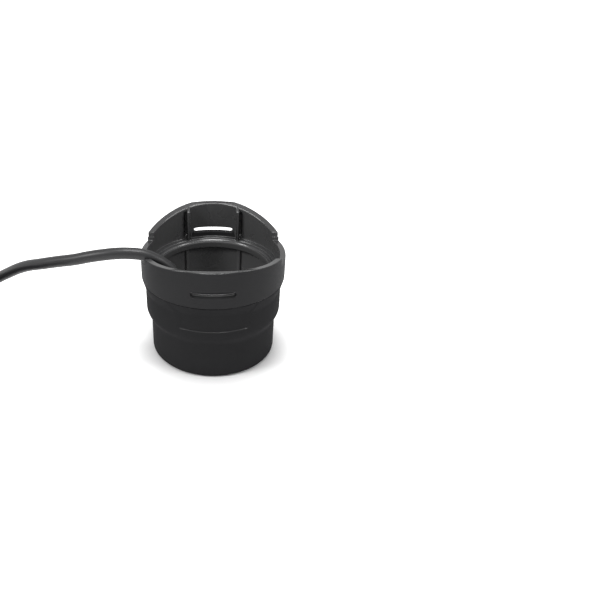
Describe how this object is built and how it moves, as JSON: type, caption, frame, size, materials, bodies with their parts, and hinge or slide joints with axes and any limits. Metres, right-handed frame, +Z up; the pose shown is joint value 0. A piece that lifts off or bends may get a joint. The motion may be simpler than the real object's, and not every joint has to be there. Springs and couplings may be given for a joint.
{
  "type": "sonar transducer",
  "caption": "Round in-hull sonar transducer: a stepped black cup with a flat sounding face, a slotted collar with a swept rim, and a coiled cable that ends in a screw-ring plug.",
  "frame": {"origin": "middle of the sounding face, on the axis of the housing", "axes": "+Z up along the axis of the housing, -Y to the front with the bare panel, -X to the side where the cable leaves"},
  "size_m": [0.297, 0.127, 0.0752],
  "materials": {
    "housing_plastic": "satin",
    "matching_epoxy": "satin",
    "piezo_ceramic": "matte",
    "cork": "matte",
    "copper_wire": "satin",
    "board_laminate": "satin",
    "ferrite": "matte",
    "potting_resin": "gloss",
    "gland_rubber": "matte",
    "cable_jacket": "satin",
    "tie_strap": "matte",
    "plug_plastic": "satin",
    "ring_plastic": "satin",
    "insert_plastic": "matte",
    "contact_metal": "polished",
    "seal_rubber": "matte"
  },
  "bodies": {
    "transducer": {"lower_housing": "housing_plastic", "upper_collar": "housing_plastic", "matching_layer": "matching_epoxy", "ceramic_disc": "piezo_ceramic", "backing_ring": "cork", "backing_cap": "cork", "element_leads": "copper_wire", "circuit_board": "board_laminate", "tuning_core": "ferrite", "core_wires": "copper_wire", "potting_fill": "potting_resin", "cable_gland": "gland_rubber", "cable_run": "cable_jacket", "cable_coil": "cable_jacket", "coil_ties": "tie_strap", "cable_end": "cable_jacket", "plug_boot": "gland_rubber", "plug_body": "plug_plastic", "plug_insert": "insert_plastic", "contact_pins": "contact_metal", "plug_seal": "seal_rubber"},
    "ring": {"coupling_ring": "ring_plastic"}
  },
  "joints": [
    {"name": "ring_turn", "type": "hinge", "parent": "transducer", "child": "ring", "pos_m": [-0.168, -0.061, 0.038], "axis": [1, 0, 0], "continuous": true}
  ]
}
